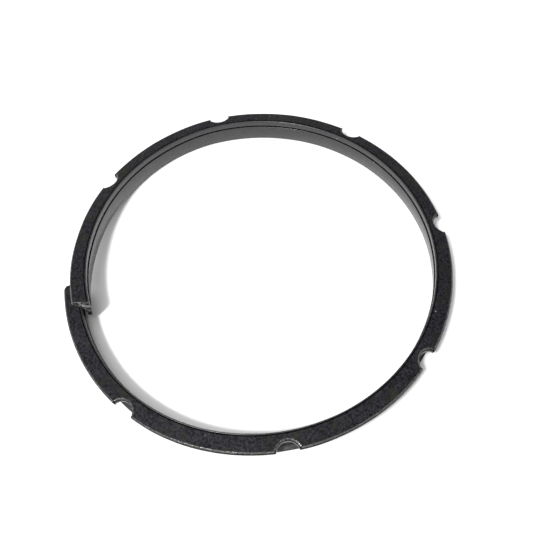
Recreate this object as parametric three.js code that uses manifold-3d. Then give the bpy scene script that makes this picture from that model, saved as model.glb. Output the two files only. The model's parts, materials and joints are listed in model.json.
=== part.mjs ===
// Sealing ring (gasket) of a stovetop pressure cooker: one moulded rubber strip that has
// parted at its joint and lies as an open ring, one end lapped over the other.
// Millimetres, +Z up. The origin is the middle of the ring, on the table it rests on.
import * as THREE from 'three';
import Module from 'manifold-3d';

// ---- Driving dimensions (mm, degrees) ----

// The ring as it lies
const LIP_EDGE_RADIUS = 117.5;
const LIP_REACH = 10;
const HEIGHT = 17.8;

// Upright wall
const WALL_THICKNESS = 2.3;
const WALL_LEAN = 1;
const FOOT_REACH = 5.7;
const FOOT_THICKNESS = 2;
const FOOT_EDGE_THICKNESS = 1.3;
const FOOT_CORNER = 0.5;

// Upper lip, which slopes down towards its edge
const LIP_DROP = 2.5;
const LIP_THICKNESS = 4.2;
const LIP_EDGE_ROUND = 1;
const LIP_ROOT_ROUND = 1.5;

// Bead along the top inner corner, between two fine grooves
const BEAD_HEIGHT = 4.4;
const BEAD_BULGE = 0.6;
const BEAD_WIDTH = 1.6;
const GROOVE_DEPTH = 0.4;
const GROOVE_WIDTH = 0.8;

// Scallops in the edge of the upper lip
const NOTCH_COUNT = 7;
const NOTCH_PITCH = 45.9;
const MIDDLE_NOTCH_ANGLE = 6.5;
const NOTCH_HALF_WIDTH = 6;
const NOTCH_DEPTH = 5.4;
const NOTCH_MOUTH_ROUND = 1;

// Ends of the strip: where the upper one stops, and how far it laps over the lower one
const UPPER_END_ANGLE = 193.2;
const LAP_ANGLE = 8.9;
const END_CORNER_ROUND = 2;

// Both ends drift inwards, the upper one past the lower one's wall and up over its lip
const LOWER_END_DRIFT = 2.4;
const LOWER_DRIFT_ANGLES = { from: -110, to: -180 };
const UPPER_DRIFT_ANGLES = { from: 100, to: 174 };
const UPPER_RISE_ANGLES = { from: 110, to: 178 };
const LAP_SIDE_CLEARANCE = 0.1;
const LAP_TOP_CLEARANCE = 1.2;

// Smoothness
const DEGREES_PER_STEP = 4;
const ROUND_SEGMENTS = 2;
const NOTCH_SEGMENTS = 12;

const RUBBER = { color: 0x232327, roughness: 0.62, metalness: 0 };

// ---- Derived sizes ----

const WALL_RADIUS = LIP_EDGE_RADIUS - LIP_REACH;
const STRIP_ANGLE = 360 + LAP_ANGLE;
const STRIP_LENGTH = THREE.MathUtils.degToRad(STRIP_ANGLE) * LIP_EDGE_RADIUS;
const LIP_SLOPE = LIP_DROP / (LIP_REACH - BEAD_WIDTH);
const LIP_SLOPE_ANGLE = Math.atan(LIP_SLOPE);
const BEAD_NECK = HEIGHT - BEAD_HEIGHT;

// Where the ends lap, the upper foot stands inside the lower wall, and the upper lip clears the
// lower lip, which has the same slope.
const LAP_STEP = FOOT_REACH + LAP_SIDE_CLEARANCE;
const LAP_RISE = LIP_THICKNESS / Math.cos(LIP_SLOPE_ANGLE) + LAP_STEP * LIP_SLOPE + LAP_TOP_CLEARANCE;
const LOWER_DRIFT = { amount: LOWER_END_DRIFT, ...LOWER_DRIFT_ANGLES };
const UPPER_DRIFT = { amount: LOWER_END_DRIFT + LAP_STEP, ...UPPER_DRIFT_ANGLES };
const UPPER_RISE = { amount: LAP_RISE, ...UPPER_RISE_ANGLES };

// ---- Helpers ----

const wasm = await Module();
wasm.setup();

/** Turns a closed three.js geometry into a solid, joining corners that coincide. */
function toSolid(geometry) {
  const shared = new Map();
  const vertices = [];
  const position = geometry.attributes.position;
  const joined = [];
  for (let i = 0; i < position.count; i += 1) {
    const point = [position.getX(i), position.getY(i), position.getZ(i)];
    const key = point.map((value) => Math.round(value * 1e4)).join();
    if (!shared.has(key)) {
      shared.set(key, vertices.length / 3);
      vertices.push(...point);
    }
    joined.push(shared.get(key));
  }
  const order = geometry.index ? Array.from(geometry.index.array, (i) => joined[i]) : joined;
  const triangles = [];
  for (let i = 0; i < order.length; i += 3) {
    const [a, b, c] = order.slice(i, i + 3);
    if (a !== b && b !== c && c !== a) triangles.push(a, b, c);
  }
  const mesh = new wasm.Mesh({
    numProp: 3,
    vertProperties: Float32Array.from(vertices),
    triVerts: Uint32Array.from(triangles),
  });
  return new wasm.Manifold(mesh);
}

/** Turns a solid back into a geometry ready for a mesh. */
function toGeometry(solid) {
  const mesh = solid.getMesh();
  const geometry = new THREE.BufferGeometry();
  geometry.setAttribute('position', new THREE.BufferAttribute(mesh.vertProperties, mesh.numProp));
  geometry.setIndex(new THREE.BufferAttribute(mesh.triVerts, 1));
  geometry.computeVertexNormals();
  return geometry;
}

/** Draws a closed outline through corners [x, y, round], softening each corner that has a round. */
function roundedOutline(corners) {
  const shape = new THREE.Shape();
  corners.forEach(([x, y, round = 0], i) => {
    const corner = new THREE.Vector2(x, y);
    const before = new THREE.Vector2(...corners.at(i - 1).slice(0, 2));
    const after = new THREE.Vector2(...corners[(i + 1) % corners.length].slice(0, 2));
    const enter = before.sub(corner).setLength(round).add(corner);
    const leave = after.sub(corner).setLength(round).add(corner);
    if (i === 0) shape.moveTo(enter.x, enter.y);
    else shape.lineTo(enter.x, enter.y);
    if (round > 0) shape.quadraticCurveTo(corner.x, corner.y, leave.x, leave.y);
  });
  shape.closePath();
  return shape;
}

/** How far a drift has built up at an angle: nothing before `from`, its full amount past `to`. */
function driftAt(angle, { amount, from, to }) {
  const direction = Math.sign(to - from);
  return amount * THREE.MathUtils.smoothstep(angle * direction, from * direction, to * direction);
}

/**
 * Lays a straight piece of strip round the ring. In the straight strip x runs outwards from the
 * wall, y runs up and z runs along the lip's edge, starting at the upper end.
 */
function layInRing(geometry) {
  const position = geometry.attributes.position;
  for (let i = 0; i < position.count; i += 1) {
    const along = position.getZ(i) / LIP_EDGE_RADIUS;
    const angle = UPPER_END_ANGLE - THREE.MathUtils.radToDeg(along);
    const drift = driftAt(angle, UPPER_DRIFT) + driftAt(angle, LOWER_DRIFT);
    const radius = WALL_RADIUS + position.getX(i) - drift;
    const height = position.getY(i) + driftAt(angle, UPPER_RISE);
    const turn = THREE.MathUtils.degToRad(angle);
    position.setXYZ(i, radius * Math.cos(turn), radius * Math.sin(turn), height);
  }
  return geometry;
}

/** Raises an outline drawn along the strip (x) and outwards (y) into an upright cutter. */
function uprightCutter(outline, bottom, top) {
  const geometry = new THREE.ExtrudeGeometry(outline, {
    depth: top - bottom,
    bevelEnabled: false,
    curveSegments: NOTCH_SEGMENTS,
  });
  geometry.translate(0, 0, bottom);
  const alongStrip = new THREE.Vector3(0, 0, 1);
  const outwards = new THREE.Vector3(1, 0, 0);
  const upwards = new THREE.Vector3(0, 1, 0);
  return geometry.applyMatrix4(new THREE.Matrix4().makeBasis(alongStrip, outwards, upwards));
}

// ---- Profile of the strip ----

/** The strip's cross-section: x outwards from the wall's inner face, y up from the table. */
function profile() {
  const edgeTop = HEIGHT - LIP_DROP;
  const edgeBottomX = LIP_REACH - LIP_THICKNESS * Math.sin(LIP_SLOPE_ANGLE);
  const edgeBottomY = edgeTop - LIP_THICKNESS * Math.cos(LIP_SLOPE_ANGLE);
  const wallTopX = WALL_THICKNESS;
  const wallTopY = edgeBottomY + (edgeBottomX - wallTopX) * LIP_SLOPE;
  const wallFootX = WALL_LEAN + WALL_THICKNESS;
  const grooveHalf = GROOVE_WIDTH / 2;
  return roundedOutline([
    [WALL_LEAN, 0, FOOT_CORNER],
    [FOOT_REACH, 0],
    [FOOT_REACH, FOOT_EDGE_THICKNESS],
    [wallFootX, FOOT_THICKNESS, FOOT_CORNER],
    [wallTopX, wallTopY, LIP_ROOT_ROUND],
    [edgeBottomX, edgeBottomY, LIP_EDGE_ROUND],
    [LIP_REACH, edgeTop, LIP_EDGE_ROUND],
    [BEAD_WIDTH + grooveHalf, HEIGHT - grooveHalf * LIP_SLOPE],
    [BEAD_WIDTH, HEIGHT - GROOVE_DEPTH],
    [BEAD_WIDTH - grooveHalf, HEIGHT],
    [-BEAD_BULGE, HEIGHT, BEAD_WIDTH - grooveHalf],
    [-BEAD_BULGE, BEAD_NECK + grooveHalf, grooveHalf],
    [GROOVE_DEPTH, BEAD_NECK],
    [0, BEAD_NECK - grooveHalf],
  ]);
}

// ---- Cutters, in the straight strip ----

/** One scallop: a half-moon bite with softened corners at its mouth. */
function notchCutter(angle) {
  const sagitta = NOTCH_DEPTH - NOTCH_MOUTH_ROUND;
  const bite = (NOTCH_HALF_WIDTH ** 2 + sagitta ** 2) / (2 * sagitta);
  const centreY = bite - NOTCH_DEPTH;
  const startAngle = Math.atan2(-NOTCH_MOUTH_ROUND - centreY, -NOTCH_HALF_WIDTH);
  const endAngle = Math.atan2(-NOTCH_MOUTH_ROUND - centreY, NOTCH_HALF_WIDTH);
  const mouth = NOTCH_HALF_WIDTH + NOTCH_MOUTH_ROUND;
  const outline = new THREE.Shape();
  outline.moveTo(-mouth, NOTCH_DEPTH);
  outline.lineTo(-mouth, 0);
  outline.quadraticCurveTo(-NOTCH_HALF_WIDTH, 0, -NOTCH_HALF_WIDTH, -NOTCH_MOUTH_ROUND);
  outline.absarc(0, centreY, bite, startAngle, endAngle, false);
  outline.quadraticCurveTo(NOTCH_HALF_WIDTH, 0, mouth, 0);
  outline.lineTo(mouth, NOTCH_DEPTH);
  outline.closePath();
  const geometry = uprightCutter(outline, HEIGHT / 3, HEIGHT + LIP_THICKNESS);
  const along = THREE.MathUtils.degToRad(UPPER_END_ANGLE - angle) * LIP_EDGE_RADIUS;
  return geometry.translate(LIP_REACH, 0, along);
}

/** The sliver that rounds the outer corner of the lower end, seen from above. */
function endCornerCutter() {
  const outline = new THREE.Shape();
  outline.moveTo(END_CORNER_ROUND, -END_CORNER_ROUND);
  outline.lineTo(END_CORNER_ROUND, END_CORNER_ROUND);
  outline.lineTo(-END_CORNER_ROUND, END_CORNER_ROUND);
  outline.lineTo(-END_CORNER_ROUND, 0);
  outline.quadraticCurveTo(0, 0, 0, -END_CORNER_ROUND);
  outline.closePath();
  const geometry = uprightCutter(outline, HEIGHT / 3, HEIGHT + LIP_THICKNESS);
  return geometry.translate(LIP_REACH, 0, STRIP_LENGTH);
}

// ---- The ring ----

/** Moves a geometry sideways until its outline is centred on the origin. */
function centred(geometry) {
  geometry.computeBoundingBox();
  const middle = geometry.boundingBox.getCenter(new THREE.Vector3());
  return geometry.translate(-middle.x, -middle.y, 0);
}

/** The whole ring as one solid: the laid strip less its scallops. */
function sealingRing() {
  const strip = new THREE.ExtrudeGeometry(profile(), {
    depth: STRIP_LENGTH,
    steps: Math.round(STRIP_ANGLE / DEGREES_PER_STEP),
    bevelEnabled: false,
    curveSegments: ROUND_SEGMENTS,
  });
  let solid = toSolid(layInRing(strip));
  const middle = (NOTCH_COUNT - 1) / 2;
  for (let i = 0; i < NOTCH_COUNT; i += 1) {
    const angle = MIDDLE_NOTCH_ANGLE + (i - middle) * NOTCH_PITCH;
    solid = solid.subtract(toSolid(layInRing(notchCutter(angle))));
  }
  return solid.subtract(toSolid(layInRing(endCornerCutter())));
}

const rubber = new THREE.MeshStandardMaterial(RUBBER);
const ring = new THREE.Mesh(centred(toGeometry(sealingRing())), rubber);
ring.name = 'sealing_ring';

const group = new THREE.Group();
group.name = 'pressure_cooker_sealing_ring';
group.add(ring);

export default group;
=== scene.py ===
"""Sealing ring of a stovetop pressure cooker, on a pale table in soft studio light.

The ring is one moulded rubber strip that has parted at its joint. It is modelled straight, as the
stock it was before it was closed, and then laid round the pot's mouth with one end lapped over the
other. Everything is in metres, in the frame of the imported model.
"""

import json
import logging
import math
import random
from dataclasses import dataclass, field
from enum import Enum
from typing import Callable

import bmesh
import bpy
from mathutils import Matrix, Vector

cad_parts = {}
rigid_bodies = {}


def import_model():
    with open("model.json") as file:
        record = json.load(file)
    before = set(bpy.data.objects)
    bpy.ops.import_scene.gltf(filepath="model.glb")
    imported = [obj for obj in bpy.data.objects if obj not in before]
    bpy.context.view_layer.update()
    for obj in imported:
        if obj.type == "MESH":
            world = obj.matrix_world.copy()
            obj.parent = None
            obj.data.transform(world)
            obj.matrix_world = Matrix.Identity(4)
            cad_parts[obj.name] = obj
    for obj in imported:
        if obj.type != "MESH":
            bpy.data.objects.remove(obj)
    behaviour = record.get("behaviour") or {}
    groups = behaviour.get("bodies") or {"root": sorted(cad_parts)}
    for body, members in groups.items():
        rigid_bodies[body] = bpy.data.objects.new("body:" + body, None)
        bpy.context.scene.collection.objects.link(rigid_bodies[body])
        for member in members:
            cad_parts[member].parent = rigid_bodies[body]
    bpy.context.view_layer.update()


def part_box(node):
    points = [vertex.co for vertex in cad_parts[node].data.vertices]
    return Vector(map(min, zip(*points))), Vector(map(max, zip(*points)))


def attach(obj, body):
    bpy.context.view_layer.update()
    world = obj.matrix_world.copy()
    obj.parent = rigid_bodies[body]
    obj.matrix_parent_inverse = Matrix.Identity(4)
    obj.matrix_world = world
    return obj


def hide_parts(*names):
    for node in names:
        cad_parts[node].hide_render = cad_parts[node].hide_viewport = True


LOG = logging.getLogger("sealing_ring")

MM = 0.001
CAD_NODE = "sealing_ring"
BODY = "root"
PLACE_ATTRIBUTE = "strip_place"


# ---- Selecting and editing, as by hand ----


class Part(Enum):
    """What a selection picks in edit mode."""

    POINTS = "VERT"
    EDGES = "EDGE"
    FACES = "FACE"


def deselect_objects() -> None:
    """Leaves no object selected and none being edited."""
    if bpy.context.object and bpy.context.object.mode != "OBJECT":
        bpy.ops.object.mode_set(mode="OBJECT")
    bpy.ops.object.select_all(action="DESELECT")


def make_active(piece: bpy.types.Object) -> None:
    """Selects one object alone and makes it the active one.

    Args:
        piece: The object to work on.
    """
    deselect_objects()
    piece.select_set(True)
    bpy.context.view_layer.objects.active = piece


def pick(piece: bpy.types.Object, part: Part, wanted: Callable) -> int:
    """Selects points, edges or faces of a piece in edit mode, and nothing else.

    Args:
        piece: The mesh object, which is in edit mode.
        part: What to select.
        wanted: Says of a bmesh vertex, edge or face whether it is wanted.

    Returns:
        How many were selected.
    """
    bpy.ops.mesh.select_all(action="DESELECT")
    bpy.ops.mesh.select_mode(type=part.value)
    mesh = bmesh.from_edit_mesh(piece.data)
    mesh.normal_update()
    found = {Part.POINTS: mesh.verts, Part.EDGES: mesh.edges, Part.FACES: mesh.faces}[part]
    count = 0
    for item in found:
        if wanted(item):
            item.select_set(True)
            count += 1
    mesh.select_flush_mode()
    bmesh.update_edit_mesh(piece.data)
    return count


def near(value: float, target: float, within: float = 0.02 * MM) -> bool:
    """Says whether two lengths are the same, within a hundredth or two of a millimetre."""
    return abs(value - target) < within


def runs_along(out: float, up: float) -> Callable:
    """Makes a test for the strip's long edges at one place of its section.

    Args:
        out: How far the edge lies outwards from the wall's inner face.
        up: How high it lies.

    Returns:
        A test of a bmesh edge.
    """
    return lambda edge: all(near(v.co.y, out) and near(v.co.z, up) for v in edge.verts)


def at_section(out: float, up: float) -> Callable:
    """Makes a test for points at one place of the strip's section.

    Args:
        out: How far the point lies outwards from the wall's inner face.
        up: How high it lies.

    Returns:
        A test of a bmesh vertex.
    """
    return lambda point: near(point.co.y, out) and near(point.co.z, up)


def shift(y: float = 0.0, z: float = 0.0, x: float = 0.0) -> None:
    """Moves what is selected."""
    bpy.ops.transform.translate(value=(x, y, z))


def assign(piece: bpy.types.Object, skin: "Skin") -> None:
    """Gives the selected faces one of the piece's finishes.

    Args:
        piece: The mesh object, in edit mode.
        skin: The finish.
    """
    piece.active_material_index = skin.value
    bpy.ops.object.material_slot_assign()


def apply_modifier(piece: bpy.types.Object, kind: str, **settings: object) -> None:
    """Gives a piece a modifier and applies it at once.

    Args:
        piece: The mesh object.
        kind: The modifier's type, such as BOOLEAN.
        **settings: Values for the modifier's own fields.
    """
    make_active(piece)
    modifier = piece.modifiers.new(kind.lower(), kind)
    for name, value in settings.items():
        setattr(modifier, name, value)
    bpy.ops.object.modifier_apply(modifier=modifier.name)


# ---- Sizes ----


@dataclass(frozen=True)
class Section:
    """The strip's cross-section: out from the wall's inner face, and up from the table."""

    height: float = 17.8 * MM
    wall: float = 2.3 * MM
    lean: float = 0.8 * MM
    swell: float = 0.8 * MM
    foot_reach: float = 5.7 * MM
    foot_thickness: float = 2.0 * MM
    foot_edge: float = 1.3 * MM
    lip_reach: float = 10.0 * MM
    lip_drop: float = 2.5 * MM
    edge_height: float = 3.8 * MM
    edge_lean: float = 0.4 * MM
    lip_round: float = 1.15 * MM
    root_round: float = 1.5 * MM
    bead_height: float = 4.4 * MM
    bead_front: float = -0.35 * MM
    bead_width: float = 0.8 * MM
    bead_round: float = 0.35 * MM
    groove_depth: float = 0.6 * MM
    groove_half: float = 0.35 * MM
    corner_round: float = 0.35 * MM
    groove_round: float = 0.1 * MM

    @property
    def slope(self) -> float:
        """How far the lip comes down for each metre outwards."""
        return self.lip_drop / (self.lip_reach - self.bead_width)

    @property
    def neck(self) -> float:
        """The height of the groove under the bead."""
        return self.height - self.bead_height

    @property
    def edge_top(self) -> tuple[float, float]:
        """The upper corner of the lip's edge, out and up."""
        return self.lip_reach, self.height - self.lip_drop

    @property
    def edge_bottom(self) -> tuple[float, float]:
        """The lower corner of the lip's edge, out and up."""
        out, up = self.edge_top
        return out - self.edge_lean, up - self.edge_height

    @property
    def root_up(self) -> float:
        """The height at which the lip's underside meets the wall."""
        out, up = self.edge_bottom
        return up + (out - self.wall) * self.slope


@dataclass(frozen=True)
class Shift:
    """A sideways or upward move that builds up smoothly between two angles round the ring."""

    amount: float
    start: float
    full: float

    def at(self, angle: float) -> float:
        """Gives how much of the move has built up at an angle in degrees."""
        share = (angle - self.start) / (self.full - self.start)
        share = min(max(share, 0.0), 1.0)
        return self.amount * share * share * (3 - 2 * share)


@dataclass(frozen=True)
class Lay:
    """How the strip lies round the ring: its radius, its two ends and their drift and rise."""

    centre: Vector
    wall_radius: float = 107.5 * MM
    upper_end: float = 194.9
    lower_end: float = -175.7
    upper_drift: Shift = Shift(8.2 * MM, 100, 174)
    lower_drift: Shift = Shift(2.4 * MM, -110, -180)
    upper_rise: Shift = Shift(7.3 * MM, 110, 178)
    upper_tuck: Shift = Shift(1.2 * MM, 168, 194.9)
    upper_roll: Shift = Shift(math.radians(3.9), 168, 194.9)
    step: float = 0.5

    def point(self, angle: float) -> Vector:
        """Gives the place of the wall's inner face on the table at an angle.

        Args:
            angle: Degrees round the ring, anticlockwise from the right.

        Returns:
            The place, in metres.
        """
        drift = self.upper_drift.at(angle) + self.lower_drift.at(angle) - self.upper_tuck.at(angle)
        radius = self.wall_radius - drift
        turn = math.radians(angle)
        flat = Vector((radius * math.cos(turn), radius * math.sin(turn), self.upper_rise.at(angle)))
        return self.centre + flat

    def angles(self, first: float, last: float) -> list[float]:
        """Divides a stretch of the ring into small equal steps.

        Args:
            first: The angle to start from, in degrees.
            last: The angle to end at.

        Returns:
            The angles, both ends among them.
        """
        steps = max(1, round(abs(last - first) / self.step))
        return [first + (last - first) * i / steps for i in range(steps + 1)]

    def length_to(self, angle: float) -> float:
        """Gives the length of strip from the upper end to an angle.

        Args:
            angle: Degrees round the ring.

        Returns:
            The length along the wall's inner face, in metres.
        """
        points = [self.point(a) for a in self.angles(self.upper_end, angle)]
        return sum((b - a).length for a, b in zip(points, points[1:]))

    def path(self) -> bpy.types.Object:
        """Draws the line that the wall's inner face follows, from the upper end to the lower one.

        Returns:
            The curve object.
        """
        line = bpy.data.curves.new("strip_path", "CURVE")
        line.dimensions = "3D"
        line.twist_mode = "Z_UP"
        spline = line.splines.new("POLY")
        angles = self.angles(self.upper_end, self.lower_end)
        spline.points.add(len(angles) - 1)
        for knot, angle in zip(spline.points, angles):
            knot.co = (*self.point(angle), 1)
            knot.tilt = self.upper_roll.at(angle)
        path = bpy.data.objects.new("strip_path", line)
        bpy.context.scene.collection.objects.link(path)
        return path


@dataclass(frozen=True)
class Scallops:
    """The half-moon bites in the lip's edge."""

    count: int = 7
    pitch: float = 45.9
    middle: float = 6.5
    half_width: float = 6.0 * MM
    depth: float = 5.4 * MM
    mouth_round: float = 1.0 * MM
    facets: int = 56

    @property
    def bite(self) -> float:
        """The radius of the half-moon."""
        sagitta = self.depth - self.mouth_round
        return (self.half_width**2 + sagitta**2) / (2 * sagitta)

    def angles(self) -> list[float]:
        """Gives the angle of each scallop round the ring, in degrees."""
        first = self.middle - (self.count - 1) / 2 * self.pitch
        return [first + i * self.pitch for i in range(self.count)]


# ---- Finishes ----


def link(tree: bpy.types.NodeTree, source: bpy.types.NodeSocket, target: bpy.types.NodeSocket) -> None:
    """Joins two sockets."""
    tree.links.new(source, target)


def add_node(tree: bpy.types.NodeTree, kind: str, **settings: object) -> bpy.types.Node:
    """Adds a node with its fields set.

    Args:
        tree: The node tree.
        kind: The node's type name, without the ShaderNode prefix.
        **settings: Values for the node's own fields.

    Returns:
        The new node.
    """
    node = tree.nodes.new("ShaderNode" + kind)
    for name, value in settings.items():
        setattr(node, name, value)
    return node


def add_noise(
    tree: bpy.types.NodeTree, place: bpy.types.NodeSocket, size: float, detail: float = 2.0, rough: float = 0.5
) -> bpy.types.NodeSocket:
    """Adds a noise pattern.

    Args:
        tree: The node tree.
        place: Where the pattern is read.
        size: How large its blotches are, in metres.
        detail: How many finer layers it has.
        rough: How strong the finer layers are.

    Returns:
        The pattern, from 0 to 1 and mostly near the middle.
    """
    node = add_node(tree, "TexNoise")
    node.inputs["Scale"].default_value = 1 / size
    node.inputs["Detail"].default_value = detail
    node.inputs["Roughness"].default_value = rough
    link(tree, place, node.inputs["Vector"])
    return node.outputs["Fac"]


def add_range(
    tree: bpy.types.NodeTree,
    value: bpy.types.NodeSocket,
    low: float,
    high: float,
    to_low: float = 0.0,
    to_high: float = 1.0,
) -> bpy.types.NodeSocket:
    """Maps a value from one range to another, smoothly and without passing its ends.

    Args:
        tree: The node tree.
        value: The value to map.
        low: Where the old range starts.
        high: Where the old range ends.
        to_low: Where the new range starts.
        to_high: Where the new range ends.

    Returns:
        The mapped value.
    """
    node = add_node(tree, "MapRange", interpolation_type="SMOOTHSTEP")
    for name, number in (("From Min", low), ("From Max", high), ("To Min", to_low), ("To Max", to_high)):
        node.inputs[name].default_value = number
    link(tree, value, node.inputs["Value"])
    return node.outputs["Result"]


def add_math(
    tree: bpy.types.NodeTree, operation: str, first: bpy.types.NodeSocket, second: bpy.types.NodeSocket | float
) -> bpy.types.NodeSocket:
    """Adds a sum, product or other calculation of two values.

    Args:
        tree: The node tree.
        operation: The calculation, such as MULTIPLY.
        first: The first value.
        second: The second value, or a number.

    Returns:
        The result.
    """
    node = add_node(tree, "Math", operation=operation)
    link(tree, first, node.inputs[0])
    if isinstance(second, (int, float)):
        node.inputs[1].default_value = second
    else:
        link(tree, second, node.inputs[1])
    return node.outputs[0]


def add_mix(
    tree: bpy.types.NodeTree,
    share: bpy.types.NodeSocket,
    first: bpy.types.NodeSocket | tuple[float, float, float],
    second: bpy.types.NodeSocket | tuple[float, float, float],
) -> bpy.types.NodeSocket:
    """Mixes two colours.

    Args:
        tree: The node tree.
        share: How much of the second colour there is.
        first: A colour, or where one comes from.
        second: A colour, or where one comes from.

    Returns:
        The mixed colour.
    """
    node = add_node(tree, "Mix", data_type="RGBA")
    link(tree, share, node.inputs["Factor"])
    for socket, colour in ((node.inputs[6], first), (node.inputs[7], second)):
        if isinstance(colour, tuple):
            socket.default_value = (*colour, 1)
        else:
            link(tree, colour, socket)
    return node.outputs[2]


def grain_group() -> bpy.types.NodeTree:
    """Builds the moulded rubber's grain: fine pimples over soft blotches.

    Returns:
        The node group, which takes Place and Size and gives Height and Blotch.
    """
    name = "rubber_grain"
    if name in bpy.data.node_groups:
        return bpy.data.node_groups[name]
    group = bpy.data.node_groups.new(name, "ShaderNodeTree")
    group.interface.new_socket("Place", in_out="INPUT", socket_type="NodeSocketVector")
    group.interface.new_socket("Fineness", in_out="INPUT", socket_type="NodeSocketFloat")
    group.interface.new_socket("Height", in_out="OUTPUT", socket_type="NodeSocketFloat")
    group.interface.new_socket("Blotch", in_out="OUTPUT", socket_type="NodeSocketFloat")
    start = group.nodes.new("NodeGroupInput")
    end = group.nodes.new("NodeGroupOutput")
    scaled = add_node(group, "VectorMath", operation="SCALE")
    link(group, start.outputs["Place"], scaled.inputs[0])
    link(group, start.outputs["Fineness"], scaled.inputs["Scale"])
    pimples = add_node(group, "TexVoronoi", feature="SMOOTH_F1")
    pimples.inputs["Scale"].default_value = 1 / (0.9 * MM)
    pimples.inputs["Smoothness"].default_value = 0.6
    link(group, scaled.outputs[0], pimples.inputs["Vector"])
    crumbs = add_noise(group, scaled.outputs[0], 0.8 * MM, 3.0, 0.65)
    summed = add_math(group, "ADD", pimples.outputs["Distance"], crumbs)
    link(group, summed, end.inputs["Height"])
    blotch = add_noise(group, scaled.outputs[0], 1.3 * MM, 4.0, 0.75)
    link(group, add_range(group, blotch, 0.38, 0.62), end.inputs["Blotch"])
    return group


def add_grain(
    tree: bpy.types.NodeTree, place: bpy.types.NodeSocket, fineness: float
) -> tuple[bpy.types.NodeSocket, bpy.types.NodeSocket]:
    """Puts the rubber's grain into a material.

    Args:
        tree: The material's node tree.
        place: Where the pattern is read.
        fineness: How many times finer than plain the grain is.

    Returns:
        Its height and its blotches.
    """
    node = add_node(tree, "Group", node_tree=grain_group())
    node.inputs["Fineness"].default_value = fineness
    link(tree, place, node.inputs["Place"])
    return node.outputs["Height"], node.outputs["Blotch"]


def add_bump(
    tree: bpy.types.NodeTree,
    height: bpy.types.NodeSocket,
    depth: float,
    below: bpy.types.NodeSocket | None = None,
) -> bpy.types.NodeSocket:
    """Turns a height pattern into a bumpy surface.

    Args:
        tree: The node tree.
        height: The pattern.
        depth: How deep it goes, in metres.
        below: A bumpy surface that this one lies on.

    Returns:
        The surface's direction.
    """
    node = add_node(tree, "Bump")
    node.inputs["Strength"].default_value = 1.0
    node.inputs["Distance"].default_value = depth
    link(tree, height, node.inputs["Height"])
    if below is not None:
        link(tree, below, node.inputs["Normal"])
    return node.outputs["Normal"]


class Skin(Enum):
    """The ring's finishes, by material slot. The pale rim and torn-edge finishes carry a painted highlight;
    the groove and edge finishes carry painted shade.
    """

    LIP = 0
    WALL = 1
    RIM = 2
    FRAY = 3
    TEAR = 4
    GROOVE = 5
    EDGE = 6


@dataclass(frozen=True)
class Rubber:
    """Black rubber as it left the mould and was used: its colours, shine, grain and dust."""

    name: str
    dark: tuple[float, float, float]
    light: tuple[float, float, float]
    tint: tuple[float, float, float]
    roughness: float
    specular: float
    grain_depth: float
    fineness: float = 1.0
    line_depth: float = 0.04 * MM
    film: float = 0.03
    speck_share: float = 0.18
    dust: tuple[float, float, float] = (0.30, 0.30, 0.29)

    def material(self) -> bpy.types.Material:
        """Builds the material.

        Returns:
            The material, ready to be put on the ring.
        """
        material = bpy.data.materials.new(self.name)
        material.use_nodes = True
        tree = material.node_tree
        shader = tree.nodes["Principled BSDF"]
        shader.inputs["Specular IOR Level"].default_value = self.specular
        place = add_node(tree, "TexCoord").outputs["Object"]
        strip = add_node(tree, "Attribute", attribute_name=PLACE_ATTRIBUTE).outputs["Vector"]
        grain, blotch = add_grain(tree, place, self.fineness)

        base = add_mix(tree, blotch, self.dark, self.light)
        tinted = add_range(tree, add_noise(tree, place, 7.0 * MM, 2.0), 0.5, 0.66, 0.0, 0.7)
        base = self.dusted(tree, place, add_mix(tree, tinted, base, self.tint))
        link(tree, base, shader.inputs["Base Color"])

        uneven = add_noise(tree, place, 2.0 * MM, 3.0)
        roughness = add_range(tree, uneven, 0.3, 0.7, self.roughness * 0.85, self.roughness * 1.15)
        link(tree, roughness, shader.inputs["Roughness"])

        surface = add_bump(tree, self.drawn_lines(tree, strip), self.line_depth)
        link(tree, add_bump(tree, grain, self.grain_depth, surface), shader.inputs["Normal"])
        return material

    def drawn_lines(self, tree: bpy.types.NodeTree, strip: bpy.types.NodeSocket) -> bpy.types.NodeSocket:
        """Adds the faint lines that run along the strip, left by the mould.

        Args:
            tree: The material's node tree.
            strip: The place in the straight strip.

        Returns:
            The lines' height.
        """
        mapping = add_node(tree, "Mapping")
        mapping.inputs["Scale"].default_value = (0.03, 1.0, 1.0)
        link(tree, strip, mapping.inputs["Vector"])
        return add_noise(tree, mapping.outputs["Vector"], 0.7 * MM, 2.0)

    def dusted(
        self, tree: bpy.types.NodeTree, place: bpy.types.NodeSocket, base: bpy.types.NodeSocket
    ) -> bpy.types.NodeSocket:
        """Lays a film of dust in patches and a few pale specks over a colour.

        Args:
            tree: The material's node tree.
            place: Where the pattern is read.
            base: The colour under the dust.

        Returns:
            The dusty colour.
        """
        film = add_range(tree, add_noise(tree, place, 14.0 * MM, 5.0, 0.7), 0.5, 0.75, 0.0, self.film)
        base = add_mix(tree, film, base, self.dust)
        cells = add_node(tree, "TexVoronoi", feature="F1")
        cells.inputs["Scale"].default_value = 1 / (5.5 * MM)
        link(tree, place, cells.inputs["Vector"])
        speck = add_range(tree, cells.outputs["Distance"], 0.08, 0.05)
        chosen = add_node(tree, "SeparateColor")
        link(tree, cells.outputs["Color"], chosen.inputs[0])
        few = add_range(tree, chosen.outputs["Red"], 1 - self.speck_share, 1.02 - self.speck_share)
        return add_mix(tree, add_math(tree, "MULTIPLY", speck, few), base, self.dust)


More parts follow.
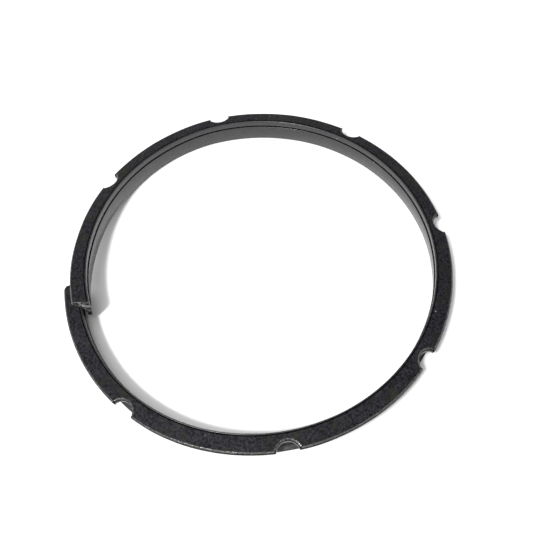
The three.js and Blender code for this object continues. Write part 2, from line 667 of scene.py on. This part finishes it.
SKINS = {
    Skin.LIP: Rubber(
        "grainy_rubber",
        dark=(0.0005, 0.0005, 0.001),
        light=(0.022, 0.021, 0.027),
        tint=(0.011, 0.011, 0.006),
        roughness=0.5,
        specular=0.1,
        grain_depth=0.3 * MM,
    ),
    Skin.WALL: Rubber(
        "smooth_rubber",
        dark=(0.006, 0.006, 0.007),
        light=(0.02, 0.02, 0.022),
        tint=(0.018, 0.018, 0.024),
        roughness=0.27,
        specular=0.6,
        grain_depth=0.02 * MM,
        line_depth=0.015 * MM,
    ),
    # Glossier than the lip, as a rubbed edge is, and much paler: the pale colour is a painted highlight along
    # the lip's rounded upper edge.
    Skin.RIM: Rubber(
        "rubbed_rubber_painted_highlight",
        dark=(0.02, 0.02, 0.021),
        light=(0.1, 0.1, 0.098),
        tint=(0.055, 0.055, 0.048),
        roughness=0.24,
        specular=0.6,
        grain_depth=0.08 * MM,
    ),
    # Much paler than the rubber: a painted highlight on the torn end's rim and on some of its facets.
    Skin.FRAY: Rubber(
        "frayed_rubber_painted_highlight",
        dark=(0.08, 0.08, 0.078),
        light=(0.32, 0.32, 0.31),
        tint=(0.2, 0.2, 0.2),
        roughness=0.6,
        specular=0.4,
        grain_depth=0.2 * MM,
        fineness=1.6,
    ),
    Skin.TEAR: Rubber(
        "torn_rubber",
        dark=(0.001, 0.001, 0.001),
        light=(0.035, 0.035, 0.036),
        tint=(0.005, 0.005, 0.005),
        roughness=0.6,
        specular=0.15,
        grain_depth=0.3 * MM,
        fineness=1.6,
    ),
    # Near-black, dull and rough: painted shade in the two grooves beside the bead.
    Skin.GROOVE: Rubber(
        "groove_rubber_painted_shade",
        dark=(0.0003, 0.0003, 0.0005),
        light=(0.003, 0.003, 0.004),
        tint=(0.002, 0.002, 0.002),
        roughness=0.8,
        specular=0.03,
        grain_depth=0.05 * MM,
        film=0.0,
        speck_share=0.05,
    ),
    # Near-black and dull: painted shade on the lip's outward edge face and on the side of its rounding.
    Skin.EDGE: Rubber(
        "edge_rubber_painted_shade",
        dark=(0.0003, 0.0003, 0.0005),
        light=(0.012, 0.012, 0.011),
        tint=(0.006, 0.006, 0.003),
        roughness=0.6,
        specular=0.05,
        grain_depth=0.2 * MM,
        film=0.01,
    ),
}


# ---- The ring ----


@dataclass
class SealingRing:
    """The sealing ring: straight stock, scalloped and torn, then laid round in a lapped ring."""

    lay: Lay
    section: Section = field(default_factory=Section)
    scallops: Scallops = field(default_factory=Scallops)
    station: float = 2.0 * MM
    end_corner: float = 2.0 * MM
    tear_skew: float = 0.386
    tear_slant: float = 0.054
    tear_reach: float = 5.5 * MM
    tear_rim: float = 0.4 * MM
    tear_cell: float = 1.3 * MM
    tear_depth: float = 0.9 * MM
    web_depth: float = 2.2 * MM
    web_out: tuple[float, float] = (3.7 * MM, 4.9 * MM)
    stub_length: float = 24.0 * MM
    stub_reach: float = 3.6 * MM
    ridge_share: float = 0.36
    ridge_seed: int = 7
    unevenness: float = 0.22 * MM

    def build(self) -> bpy.types.Object:
        """Models the ring and dresses it.

        Returns:
            The finished ring.
        """
        stock = self.stock()
        self.cut_scallops(stock)
        self.trim_foot(stock)
        self.add_web(stock)
        self.round_lip(stock)
        self.tear_end(stock)
        self.cut_stations(stock)
        self.roughen_tear(stock)
        self.loosen(stock)
        self.lay_round(stock)
        make_active(stock)
        bpy.ops.object.shade_smooth_by_angle(angle=math.radians(32))
        return stock

    @property
    def length(self) -> float:
        """The length of the strip along its wall's inner face."""
        return self.lay.length_to(self.lay.lower_end)

    def stock(self) -> bpy.types.Object:
        """Models the straight strip from a bar: wall, foot, lip, bead and grooves.

        Returns:
            The strip, lying along X from its upper end, with its outside towards Y.
        """
        s = self.section
        deselect_objects()
        middle = (self.length / 2, s.wall / 2, s.height / 2)
        bpy.ops.mesh.primitive_cube_add(size=1, location=middle)
        stock = bpy.context.object
        stock.name = "gasket"
        stock.scale = (self.length, s.wall, s.height)
        bpy.ops.object.transform_apply(location=True, rotation=True, scale=True)
        for skin in Skin:
            stock.data.materials.append(SKINS[skin].material())
        bpy.ops.object.mode_set(mode="EDIT")
        self.divide_bar(stock)
        self.pull_foot_and_lip(stock)
        self.shape_bead(stock)
        self.round_section(stock)
        pick(stock, Part.FACES, self.is_smooth)
        assign(stock, Skin.WALL)
        # The grooves beside the bead take the near-black finish: painted shade in these recesses.
        pick(stock, Part.FACES, self.is_groove)
        assign(stock, Skin.GROOVE)
        bpy.ops.object.mode_set(mode="OBJECT")
        return stock

    def is_smooth(self, face: bmesh.types.BMFace) -> bool:
        """Says whether a face of the straight strip is on its wall's inside, its bead or its foot."""
        s = self.section
        middle = face.calc_center_median()
        return middle.y < s.bead_width or middle.z < s.foot_thickness + s.corner_round

    def is_groove(self, face: bmesh.types.BMFace) -> bool:
        """Says whether a face of the straight strip is inside one of the two grooves beside the bead."""
        s = self.section
        middle = face.calc_center_median()
        if abs(face.normal.x) > 0.5:
            return False
        if abs(middle.y - s.bead_width) < s.groove_half:
            return middle.z > s.height - s.groove_depth - s.groove_round
        return abs(middle.z - s.neck) < s.groove_half and s.bead_front < middle.y < s.wall / 2

    def slice_faces(self, stock: bpy.types.Object, side: Callable, place: Vector, normal: Vector) -> None:
        """Cuts the faces on one side of the bar with a plane.

        Args:
            stock: The strip, in edit mode.
            side: Says whether a face is on that side.
            place: A point of the plane.
            normal: The plane's direction.
        """
        pick(stock, Part.FACES, side)
        bpy.ops.mesh.bisect(plane_co=place, plane_no=normal)

    def divide_bar(self, stock: bpy.types.Object) -> None:
        """Marks out the foot, the lip's root, the bead and its grooves on the bar.

        Args:
            stock: The strip, in edit mode.
        """
        s = self.section
        up = Vector((0, 0, 1))
        outwards = Vector((0, 1, 0))
        for height in (s.neck - s.groove_half, s.neck, s.neck + s.groove_half):
            self.slice_faces(stock, lambda f: f.normal.y < -0.9, Vector((0, 0, height)), up)
        for height in (s.foot_thickness, s.root_up):
            self.slice_faces(stock, lambda f: f.normal.y > 0.9, Vector((0, 0, height)), up)
        for out in (s.bead_width - s.groove_half, s.bead_width, s.bead_width + s.groove_half):
            self.slice_faces(stock, lambda f: f.normal.z > 0.9, Vector((0, out, 0)), outwards)

    def pull_foot_and_lip(self, stock: bpy.types.Object) -> None:
        """Leans the wall back at its foot, and pulls the foot and the lip out of it.

        Args:
            stock: The strip, in edit mode.
        """
        s = self.section
        pick(stock, Part.POINTS, lambda v: v.co.z < s.foot_thickness + 0.1 * MM)
        shift(y=s.lean)
        pick(stock, Part.FACES, lambda f: f.normal.y > 0.9 and f.calc_center_median().z < s.foot_thickness)
        bpy.ops.mesh.extrude_region_move(
            TRANSFORM_OT_translate={"value": (0, s.foot_reach - s.lean - s.wall, 0)}
        )
        pick(stock, Part.POINTS, at_section(s.foot_reach, s.foot_thickness))
        shift(z=s.foot_edge - s.foot_thickness)
        pick(stock, Part.FACES, lambda f: f.normal.y > 0.9 and f.calc_center_median().z > s.root_up)
        bpy.ops.mesh.extrude_region_move(
            TRANSFORM_OT_translate={"value": (0, s.lip_reach - s.wall, -s.lip_drop)}
        )
        pick(stock, Part.POINTS, at_section(s.lip_reach, s.root_up - s.lip_drop))
        out, up = s.edge_bottom
        shift(y=out - s.lip_reach, z=up - (s.root_up - s.lip_drop))

    def shape_bead(self, stock: bpy.types.Object) -> None:
        """Lets the lip's slope start at the bead, sinks the bead's two grooves and swells the wall.

        Args:
            stock: The strip, in edit mode.
        """
        s = self.section
        pick(stock, Part.POINTS, at_section(s.wall, s.height))
        shift(z=-(s.wall - s.bead_width) * s.slope)
        pick(stock, Part.POINTS, at_section(s.bead_width + s.groove_half, s.height))
        shift(z=-s.groove_half * s.slope)
        pick(stock, Part.POINTS, at_section(s.bead_width, s.height))
        shift(z=-s.groove_depth)
        pick(stock, Part.POINTS, lambda v: near(v.co.y, 0) and v.co.z > s.neck + s.groove_half / 2)
        shift(y=s.bead_front)
        pick(stock, Part.POINTS, at_section(0, s.neck))
        shift(y=s.groove_depth)
        pick(stock, Part.POINTS, at_section(0, s.neck - s.groove_half))
        shift(y=-s.swell)

    def round_section(self, stock: bpy.types.Object) -> None:
        """Softens the section's corners, apart from the lip's edge.

        Args:
            stock: The strip, in edit mode.
        """
        s = self.section
        groove_top = s.height - s.groove_half * s.slope
        corners = (
            (s.bead_front, s.height, s.bead_round, 5),
            (s.bead_front, s.neck + s.groove_half, s.groove_half * 0.6, 3),
            (s.groove_depth, s.neck, s.groove_round, 2),
            (-s.swell, s.neck - s.groove_half, s.groove_round, 2),
            (s.bead_width - s.groove_half, s.height, s.groove_round, 2),
            (s.bead_width, s.height - s.groove_depth, s.groove_round, 2),
            (s.bead_width + s.groove_half, groove_top, s.groove_round, 2),
            (s.wall, s.root_up, s.root_round, 5),
            (s.wall + s.lean, s.foot_thickness, s.corner_round, 3),
            (s.lean, 0, s.corner_round, 3),
            (s.foot_reach, 0, s.corner_round, 3),
            (s.foot_reach, s.foot_edge, s.corner_round, 3),
        )
        for out, up, amount, segments in corners:
            if not pick(stock, Part.EDGES, runs_along(out, up)):
                raise ValueError(f"the strip has no edge at {out / MM:.2f}, {up / MM:.2f} mm")
            bpy.ops.mesh.bevel(offset=amount, segments=segments, affect="EDGES")

    def cut_scallops(self, stock: bpy.types.Object) -> None:
        """Bites the scallops out of the lip's edge.

        Args:
            stock: The strip.
        """
        s, c = self.section, self.scallops
        squeeze = self.lay.wall_radius / (self.lay.wall_radius + s.lip_reach - c.depth / 2)
        out = s.lip_reach - c.depth + c.bite
        deselect_objects()
        bpy.ops.mesh.primitive_cylinder_add(
            vertices=c.facets, radius=c.bite, depth=s.height, location=(0, out, s.height)
        )
        cutter = bpy.context.object
        cutter.scale = (squeeze, 1, 1)
        bpy.ops.object.transform_apply(location=True, rotation=True, scale=True)
        bpy.ops.object.mode_set(mode="EDIT")
        placed = 0.0
        for angle in reversed(c.angles()):
            along = self.lay.length_to(angle)
            if placed:
                bpy.ops.mesh.duplicate()
            bpy.ops.transform.translate(value=(along - placed, 0, 0))
            placed = along
        bpy.ops.object.mode_set(mode="OBJECT")
        apply_modifier(stock, "BOOLEAN", object=cutter, operation="DIFFERENCE", solver="EXACT")
        bpy.data.objects.remove(cutter)

    def round_lip(self, stock: bpy.types.Object) -> None:
        """Rounds the scallops' mouths, the lower end's corner and the lip's edge.

        Args:
            stock: The strip.
        """
        s = self.section
        length = self.length
        top, bottom = s.edge_top[1], s.edge_bottom[1]
        web_end = self.tear_reach + 3 * self.web_depth

        def upright(edge: bmesh.types.BMEdge) -> bool:
            heights = sorted(v.co.z for v in edge.verts)
            return near(heights[0], bottom) and near(heights[1], top) and edge.calc_face_angle(0) > 0.5

        def on_rim(edge: bmesh.types.BMEdge) -> bool:
            if len(edge.link_faces) != 2 or any(v.co.z < bottom - 0.1 * MM for v in edge.verts):
                return False
            if all(v.co.x < 0.1 * MM or v.co.x > length - 0.1 * MM for v in edge.verts):
                return False
            if any(v.co.x < web_end and v.co.y < s.edge_bottom[0] - 0.1 * MM for v in edge.verts):
                return False
            tilts = sorted(abs(f.normal.z) for f in edge.link_faces)
            outside = min(v.co.y for v in edge.verts) > s.wall + s.root_round
            return outside and tilts[0] < 0.4 and tilts[1] > 0.9

        def in_scallop(face: bmesh.types.BMFace) -> bool:
            middle = face.calc_center_median()
            steep = abs(face.normal.z) < 0.1 and face.material_index == Skin.LIP.value
            return steep and within < middle.x < length - within and s.lip_reach - middle.y > s.lip_round

        make_active(stock)
        bpy.ops.object.mode_set(mode="EDIT")
        within = 0.1 * MM
        pick(stock, Part.EDGES, lambda e: upright(e) and within < e.verts[0].co.x < length - within)
        bpy.ops.mesh.bevel(offset=self.scallops.mouth_round, segments=4, affect="EDGES")
        pick(stock, Part.EDGES, lambda e: upright(e) and e.verts[0].co.x > length - within)
        bpy.ops.mesh.bevel(offset=self.end_corner, segments=5, affect="EDGES")
        count = pick(stock, Part.EDGES, on_rim)
        bpy.ops.mesh.bevel(offset=s.lip_round, segments=4, affect="EDGES")
        bpy.ops.mesh.select_mode(type="FACE")
        # The lip's rounded edge takes the pale, glossy finish: its pale colour is a painted highlight.
        assign(stock, Skin.RIM)
        # The lip's outward edge face, and the side-facing part of its rounding, take the near-black finish:
        # painted shade.
        pick(stock, Part.FACES, lambda f: f.normal.y > 0.9 and f.calc_center_median().y > s.edge_bottom[0])
        assign(stock, Skin.EDGE)
        pick(stock, Part.FACES, lambda f: f.material_index == Skin.RIM.value and f.normal.z < 0.65)
        assign(stock, Skin.EDGE)
        pick(stock, Part.FACES, in_scallop)
        assign(stock, Skin.WALL)
        bpy.ops.object.mode_set(mode="OBJECT")
        LOG.info("lip: %d edges rounded", count)

    def trim_foot(self, stock: bpy.types.Object) -> None:
        """Cuts the foot back at the upper end, where it leans against the lower end's wall.

        Args:
            stock: The strip.
        """
        s = self.section
        deselect_objects()
        bpy.ops.mesh.primitive_cube_add(size=1)
        cutter = bpy.context.object
        cutter.scale = (2 * self.stub_length, s.foot_reach, 2 * (s.foot_thickness + s.corner_round))
        cutter.location = (0, self.stub_reach + s.foot_reach / 2, 0)
        bpy.ops.object.transform_apply(location=True, rotation=True, scale=True)
        bpy.ops.object.mode_set(mode="EDIT")
        pick(cutter, Part.POINTS, lambda v: v.co.x > 0 and v.co.y > s.foot_reach)
        shift(x=s.foot_reach)
        bpy.ops.object.mode_set(mode="OBJECT")
        apply_modifier(stock, "BOOLEAN", object=cutter, operation="DIFFERENCE", solver="EXACT")
        bpy.data.objects.remove(cutter)

    def add_web(self, stock: bpy.types.Object) -> None:
        """Fills the channel between the lip and the foot at the upper end with a web of torn joint.

        Args:
            stock: The strip.
        """
        s = self.section
        foot_out, lip_out = self.web_out
        inside = s.wall / 2
        out, up = s.edge_bottom
        outline = (
            (s.lean + inside, s.foot_thickness / 2),
            (foot_out, s.foot_thickness / 2),
            (lip_out, up - s.root_round),
            (out - s.lip_round, up + s.corner_round),
            (inside, s.root_up + s.corner_round),
        )
        deselect_objects()
        bpy.ops.mesh.primitive_circle_add(vertices=len(outline), radius=s.wall, fill_type="NGON")
        web = bpy.context.object
        for point, (y, z) in zip(web.data.vertices, outline):
            point.co = (0, y, z)
        bpy.ops.object.mode_set(mode="EDIT")
        bpy.ops.mesh.select_all(action="SELECT")
        depth = self.tear_reach + self.web_depth
        bpy.ops.mesh.extrude_region_move(TRANSFORM_OT_translate={"value": (depth, 0, 0)})
        pick(web, Part.POINTS, lambda v: v.co.x > depth / 2 and v.co.y < foot_out)
        shift(x=self.web_depth)
        bpy.ops.mesh.select_all(action="SELECT")
        bpy.ops.mesh.normals_make_consistent(inside=False)
        bpy.ops.object.mode_set(mode="OBJECT")
        apply_modifier(stock, "BOOLEAN", object=web, operation="UNION", solver="EXACT")
        bpy.data.objects.remove(web)

    def tear_end(self, stock: bpy.types.Object) -> None:
        """Cuts the upper end off along a slanting plane, as it tore.

        Args:
            stock: The strip.
        """
        s = self.section
        make_active(stock)
        bpy.ops.object.mode_set(mode="EDIT")
        bpy.ops.mesh.select_all(action="SELECT")
        bpy.ops.mesh.bisect(
            plane_co=(0, 0, s.height),
            plane_no=(-1, self.tear_skew, -self.tear_slant),
            use_fill=True,
            clear_outer=True,
        )
        bpy.ops.object.mode_set(mode="OBJECT")

    def cut_stations(self, stock: bpy.types.Object) -> None:
        """Divides the strip along its length, so that it can bend.

        Args:
            stock: The strip.
        """
        make_active(stock)
        bpy.ops.object.mode_set(mode="EDIT")
        first = self.tear_reach + self.station
        count = int((self.length - first) / self.station)
        for i in range(count):
            bpy.ops.mesh.select_all(action="SELECT")
            bpy.ops.mesh.bisect(plane_co=(first + i * self.station, 0, 0), plane_no=(1, 0, 0))
        bpy.ops.object.mode_set(mode="OBJECT")
        LOG.info("strip: %d stations, %d faces", count, len(stock.data.polygons))

    def is_torn(self, face: bmesh.types.BMFace) -> bool:
        """Says whether a face is part of the torn end."""
        return face.normal.x < -0.8 and face.calc_center_median().x < self.tear_reach

    def roughen_tear(self, stock: bpy.types.Object) -> None:
        """Gives the torn end a frayed, ragged rim round a pitted middle, with a painted highlight on the rim
        and on some of the middle's facets.

        Args:
            stock: The strip.
        """
        s = self.section
        make_active(stock)
        bpy.ops.object.mode_set(mode="EDIT")
        pick(stock, Part.FACES, self.is_torn)
        # The torn end's rim is coloured pale: a painted highlight on the torn edge.
        assign(stock, Skin.FRAY)
        bpy.ops.mesh.inset(thickness=self.tear_rim, depth=0)
        assign(stock, Skin.TEAR)
        for i in range(1, int(s.height / self.tear_cell) + 1):
            self.slice_faces(stock, self.is_pit, Vector((0, 0, i * self.tear_cell)), Vector((0, 0.3, 1)))
        for i in range(1, int(s.lip_reach / self.tear_cell) + 1):
            self.slice_faces(stock, self.is_pit, Vector((0, i * self.tear_cell, 0)), Vector((0, 1, -0.2)))
        pick(stock, Part.FACES, self.is_pit)
        bpy.ops.mesh.select_less()
        shift(x=self.tear_depth)
        bpy.ops.transform.vertex_random(offset=self.tear_depth * 0.8, uniform=0.3, normal=0.0, seed=4)
        # A share of the pitted faces is coloured pale as well: painted highlights on the ridges between the
        # pits.
        chance = random.Random(self.ridge_seed)
        pick(stock, Part.FACES, lambda f: self.is_pit(f) and chance.random() < self.ridge_share)
        assign(stock, Skin.FRAY)
        bpy.ops.object.mode_set(mode="OBJECT")

    def is_pit(self, face: bmesh.types.BMFace) -> bool:
        """Says whether a face is in the torn end's pitted middle."""
        return face.material_index == Skin.TEAR.value

    def loosen(self, stock: bpy.types.Object) -> None:
        """Makes the strip a little uneven, as soft rubber lies.

        Args:
            stock: The strip.
        """
        clouds = bpy.data.textures.new("unevenness", "CLOUDS")
        clouds.noise_scale = 22 * MM
        clouds.noise_depth = 1
        apply_modifier(
            stock, "DISPLACE", texture=clouds, texture_coords="LOCAL", strength=self.unevenness, mid_level=0.5
        )
        bpy.data.textures.remove(clouds)

    def lay_round(self, stock: bpy.types.Object) -> None:
        """Bends the strip into its lapped ring, and keeps each point's place in the straight strip.

        Args:
            stock: The strip.
        """
        mesh = stock.data
        place = mesh.attributes.new(PLACE_ATTRIBUTE, "FLOAT_VECTOR", "POINT")
        flat = [number for vertex in mesh.vertices for number in vertex.co]
        place.data.foreach_set("vector", flat)
        path = self.lay.path()
        apply_modifier(stock, "CURVE", object=path, deform_axis="POS_X")
        bpy.data.objects.remove(path)


# ---- Studio ----


@dataclass(frozen=True)
class Studio:
    """A pale table under one large softbox and an even sky, seen from in front and above."""

    table_size: float = 4.0
    table_colour: tuple[float, float, float] = (0.93, 0.93, 0.93)
    sky_strength: float = 0.42
    softbox_place: tuple[float, float, float] = (-0.31, -0.46, 0.98)
    softbox_size: float = 0.13
    softbox_power: float = 10.5
    panel_place: tuple[float, float, float] = (-0.45, -0.3, 1.7)
    panel_size: float = 1.5
    panel_power: float = 19.0
    camera_place: tuple[float, float, float] = (0.005437, -0.202091, 0.347973)
    camera_elevation: float = 59.569
    camera_roll: float = -4.992
    camera_lens: float = 43.63

    def build(self) -> None:
        """Sets up the table, the light and the camera."""
        self.table()
        self.light()
        self.camera()
        bpy.context.scene.view_settings.view_transform = "Standard"

    def table(self) -> None:
        """Lays the table top under the object."""
        deselect_objects()
        bpy.ops.mesh.primitive_plane_add(size=self.table_size, location=(0, 0, 0))
        table = bpy.context.object
        table.name = "table_top"
        material = bpy.data.materials.new("table_paper")
        material.use_nodes = True
        shader = material.node_tree.nodes["Principled BSDF"]
        shader.inputs["Base Color"].default_value = (*self.table_colour, 1)
        shader.inputs["Roughness"].default_value = 0.8
        shader.inputs["Specular IOR Level"].default_value = 0.2
        table.data.materials.append(material)

    def light(self) -> None:
        """Hangs the softbox, stands a large panel at the left and brightens the sky."""
        self.lamp("softbox", self.softbox_place, self.softbox_size, self.softbox_power)
        self.lamp("panel", self.panel_place, self.panel_size, self.panel_power)
        world = bpy.data.worlds.new("even_sky")
        world.use_nodes = True
        background = world.node_tree.nodes["Background"]
        background.inputs["Color"].default_value = (1, 1, 1, 1)
        background.inputs["Strength"].default_value = self.sky_strength
        bpy.context.scene.world = world

    def lamp(self, name: str, place: tuple[float, float, float], size: float, power: float) -> None:
        """Hangs a square lamp that faces the object.

        Args:
            name: The lamp's name.
            place: Where it hangs.
            size: The length of its side, in metres.
            power: Its power, in watts.
        """
        light = bpy.data.lights.new(name, "AREA")
        light.shape = "SQUARE"
        light.size = size
        light.energy = power
        lamp = bpy.data.objects.new(name, light)
        lamp.location = place
        lamp.rotation_euler = (-Vector(place)).to_track_quat("-Z", "Y").to_euler()
        bpy.context.scene.collection.objects.link(lamp)

    def camera(self) -> None:
        """Sets the camera in front of the object, looking down at it."""
        lens = bpy.data.cameras.new("camera")
        lens.lens = self.camera_lens
        lens.clip_start = 0.01
        camera = bpy.data.objects.new("camera", lens)
        tilt = Matrix.Rotation(math.radians(90 - self.camera_elevation), 4, "X")
        roll = Matrix.Rotation(math.radians(self.camera_roll), 4, "Z")
        camera.matrix_world = Matrix.Translation(self.camera_place) @ tilt @ roll
        bpy.context.scene.collection.objects.link(camera)
        bpy.context.scene.camera = camera


def ring_centre() -> Vector:
    """Finds the middle of the ring's circle from the box of its CAD node.

    Returns:
        The middle, on the table. The right side is on the circle, and so are the front and back.
    """
    low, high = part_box(CAD_NODE)
    reach = (high.y - low.y) / 2
    return Vector((high.x - reach, (high.y + low.y) / 2, 0))


def main() -> None:
    """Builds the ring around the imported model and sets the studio."""
    logging.basicConfig(level=logging.INFO, format="%(name)s: %(message)s")
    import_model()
    Studio().build()
    ring = SealingRing(Lay(ring_centre())).build()
    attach(ring, BODY)
    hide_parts(CAD_NODE)
    LOG.info("%s: %d faces", ring.name, len(ring.data.polygons))


if __name__ == "__main__":
    main()
